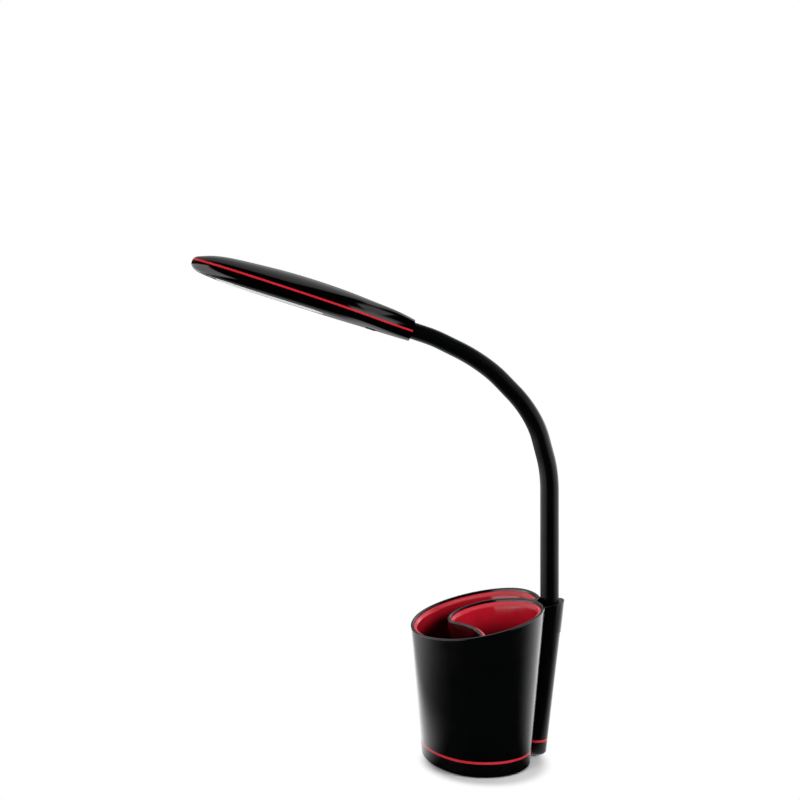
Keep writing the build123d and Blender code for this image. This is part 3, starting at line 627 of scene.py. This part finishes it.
carve(head_lower, "DIFFERENCE", slot_tool, button_tool)
head_upper = carve(head_skin, "INTERSECT", upper_slab)
head_upper.name = "head_upper"
for tool in (head_inner, slot_tool, lens_tool, button_tool, upper_slab, trim_slab, lower_slab):
    bpy.data.objects.remove(tool)
head_pieces = (
    (head_upper, "head_top_shell", "head_black"),
    (head_trim, "head_trim_band", "trim_red"),
    (head_lower, "head_bottom_shell", "head_black"),
    (head_lens, "light_diffuser", "diffuser_white"),
)
for piece, node_name, slot_name in head_pieces:
    paint(piece, slot_name)
    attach(piece, "head")
    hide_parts(node_name)


# Studio: the camera sees a white backdrop, and gloss a dark room with a few bright panels.
# A tuple of two or four numbers is where a ramp starts and ends, and its values there

ROOM_DARK = 0.002
ROOM_LIGHT = 0.35
SKY_TILT = -3.0
SKY_SIDE = (-1.20, -0.95)
SKY_FRONT = (-0.45, -0.15)
SKY_FOOT = (0.22, 0.40, 0.1, 1.0)
SKY_LIGHT = 0.6
PANEL_LEAN = 0.25
RIGHT_EDGE = (0.598, 0.625)
RIGHT_TOP = (0.79, 0.73)
RIGHT_LIGHT = 1.0
LOW_EDGE = (0.50, 0.62)
LOW_TOP = (0.50, 0.15)
LOW_LIGHT = 1.9
LEAST_LEFT = 0.05
LEFT_EDGE = (-0.58, -0.68)
LEFT_BACK = (-0.84, -0.68)
LEFT_TOP = (0.15, 0.05)
LEFT_LIGHT = 2.8
FLOOR = 6.0
# Floor colour darker than white: painted shadow in the patch round the foot
FLOOR_PATCH_SHADE_COLOR = (0.6, 0.6, 0.6)
FLOOR_ROUGHNESS = 0.9
FOOT_X = 0.007
FOOT_Y = -0.003
SHADOW_STRETCH = 1.38
SHADOW_REACH = (0.046, 0.060)
AHEAD_X = 0.139
AHEAD_Y = 0.990
LEAST_FAR_SQUARE = 0.0001
NEAR_SIDES = (-0.05, -0.15)
NEAR_RIGHT = (-0.45, 0.85, 0.0, 1.9)
NEAR_LEFT = (-0.05, 0.28, 0.0, 0.7)
NEAR_FADE = (0.7, 0.45, 0.15, 1.0)
HEAD_ASIDE = 0.06
HEAD_RISE_SQUARE = 0.09
FLOOR_RIGHT_START = (0.45, 0.60)
FLOOR_RIGHT_LIGHT = 1.8
FLOOR_LEFT_EDGE = (-0.48, -0.56)
FLOOR_LEFT_BACK = (-0.82, -0.66)
FLOOR_LEFT_LIGHT = 2.4


def back_per_left(tree, x, y):
    """How far back a place or direction on the left goes for each step to the left."""
    left = math_node(tree, "MAXIMUM", times(tree, x, -1.0), LEAST_LEFT)
    return math_node(tree, "DIVIDE", y, left)


world = bpy.data.worlds.new("studio")
bpy.context.scene.world = world
world.use_nodes = True
tree = world.node_tree
background = tree.nodes["Background"]
background.inputs["Color"].default_value = (1, 1, 1, 1)
path = tree.nodes.new("ShaderNodeLightPath")
x, y, z = split_xyz(tree, "Generated")
tilted = plus(tree, y, times(tree, x, SKY_TILT))
sky = times(tree, ramp(tree, tilted, *SKY_SIDE), ramp(tree, y, *SKY_FRONT),
            ramp(tree, z, *SKY_FOOT), SKY_LIGHT)
leaning = plus(tree, x, times(tree, y, PANEL_LEAN))
right_panel = times(tree, ramp(tree, leaning, *RIGHT_EDGE), ramp(tree, z, *RIGHT_TOP), RIGHT_LIGHT)
low_panel = times(tree, ramp(tree, x, *LOW_EDGE), ramp(tree, z, *LOW_TOP), LOW_LIGHT)
left_panel = times(tree, ramp(tree, x, *LEFT_EDGE), ramp(tree, back_per_left(tree, x, y), *LEFT_BACK),
                   ramp(tree, z, *LEFT_TOP), LEFT_LIGHT)
shown = plus(tree, ROOM_DARK, sky, right_panel, low_panel, left_panel)
glossy = blend_values(tree, path.outputs["Is Glossy Ray"], ROOM_LIGHT, shown)
seen = math_node(tree, "MAXIMUM", path.outputs["Is Camera Ray"], path.outputs["Is Transmission Ray"])
strength = blend_values(tree, seen, glossy, 1.0)
tree.links.new(strength, background.inputs["Strength"])

# Floor: a white glow but for a patch round the foot. The patch is a diffuse floor whose colour is darker than
# white, which is painted shadow, and it also takes real shadow from the lamps. The glow is a light of its own that
# gloss shows.
corners = [(-FLOOR, -FLOOR, 0), (FLOOR, -FLOOR, 0), (FLOOR, FLOOR, 0), (-FLOOR, FLOOR, 0)]
floor_mesh = bpy.data.meshes.new("floor")
floor_mesh.from_pydata(corners, [], [(0, 1, 2, 3)])
floor = bpy.data.objects.new("floor", floor_mesh)
show(floor)
floor_material, tree, floor_shader = new_material("floor_white", FLOOR_PATCH_SHADE_COLOR, FLOOR_ROUGHNESS, specular=0.0)
path = tree.nodes.new("ShaderNodeLightPath")
x, y, _ = split_xyz(tree, "Object")
off_x, off_y = plus(tree, x, -FOOT_X), plus(tree, y, -FOOT_Y)
distance = root_of_sum(tree, times(tree, off_x, off_x, SHADOW_STRETCH), times(tree, off_y, off_y))
# lit_share is 0 in the patch of painted shadow round the foot and 1 in the white glow beyond
lit_share = ramp(tree, distance, *SHADOW_REACH)
far = root_of_sum(tree, times(tree, x, x), times(tree, y, y), LEAST_FAR_SQUARE)
behind = math_node(tree, "DIVIDE", plus(tree, times(tree, x, AHEAD_X), times(tree, y, AHEAD_Y)), far)
from_head = plus(tree, x, HEAD_ASIDE)
slant = root_of_sum(tree, times(tree, from_head, from_head), times(tree, y, y), HEAD_RISE_SQUARE)
aside = math_node(tree, "DIVIDE", plus(tree, from_head, times(tree, y, PANEL_LEAN)), slant)
floor_right = times(tree, ramp(tree, aside, *RIGHT_EDGE), ramp(tree, far, *FLOOR_RIGHT_START),
                    FLOOR_RIGHT_LIGHT)
floor_left = times(tree, ramp(tree, x, *FLOOR_LEFT_EDGE),
                   ramp(tree, back_per_left(tree, x, y), *FLOOR_LEFT_BACK), FLOOR_LEFT_LIGHT)
floor_near = blend_values(tree, ramp(tree, x, *NEAR_SIDES), ramp(tree, behind, *NEAR_RIGHT),
                          ramp(tree, y, *NEAR_LEFT))
floor_near = times(tree, floor_near, ramp(tree, far, *NEAR_FADE))
floor_glossy = plus(tree, ROOM_DARK, floor_near, floor_right, floor_left)
glow = tree.nodes.new("ShaderNodeEmission")
glow.inputs["Color"].default_value = (1, 1, 1, 1)
glow_strength = blend_values(tree, path.outputs["Is Glossy Ray"], 1.0, floor_glossy)
tree.links.new(glow_strength, glow.inputs["Strength"])
mix = tree.nodes.new("ShaderNodeMixShader")
tree.links.new(blend_values(tree, path.outputs["Is Glossy Ray"], lit_share, 1.0), mix.inputs["Fac"])
tree.links.new(floor_shader.outputs["BSDF"], mix.inputs[1])
tree.links.new(glow.outputs["Emission"], mix.inputs[2])
tree.links.new(mix.outputs["Shader"], tree.nodes["Material Output"].inputs["Surface"])
floor_mesh.materials.append(floor_material)


# Lamps and camera

CAMERA_PLACE = (-0.1799, -0.8753, 0.2984)
CAMERA_TURN = radians(8)
CAMERA_SENSOR = 36
CAMERA_LENS = 53.28
CAMERA_SHIFT = -0.0454


def aim(thing, place, direction):
    """Puts a lamp or camera at a place, looking along a direction."""
    show(thing)
    thing.location = place
    thing.rotation_mode = "QUATERNION"
    thing.rotation_quaternion = direction.to_track_quat("-Z", "Y")


def area_light(name, place, target, size, power):
    """Rectangle lamp that gloss does not show; power in watts."""
    light = bpy.data.lights.new(name, "AREA")
    light.shape = "RECTANGLE"
    light.size, light.size_y = size
    light.energy = power
    lamp = bpy.data.objects.new(name, light)
    lamp.visible_glossy = False
    aim(lamp, place, Vector(target) - Vector(place))


area_light("key_left", place=(-1.1, -1.2, 1.3), target=(0, 0, 0.12), size=(0.8, 0.8), power=16)
area_light("fill_right", place=(1.1, -1.0, 1.2), target=(0, 0, 0.12), size=(0.6, 0.9), power=18)
area_light("top", place=(0.1, 0.1, 1.7), target=(0, 0, 0.1), size=(1.0, 0.8), power=20)

camera_data = bpy.data.cameras.new("camera")
camera_data.sensor_width = CAMERA_SENSOR
camera_data.lens = CAMERA_LENS
camera_data.shift_y = CAMERA_SHIFT
camera = bpy.data.objects.new("camera", camera_data)
aim(camera, CAMERA_PLACE, Vector((sin(CAMERA_TURN), cos(CAMERA_TURN), 0)))
bpy.context.scene.camera = camera
bpy.context.scene.view_settings.view_transform = "Standard"
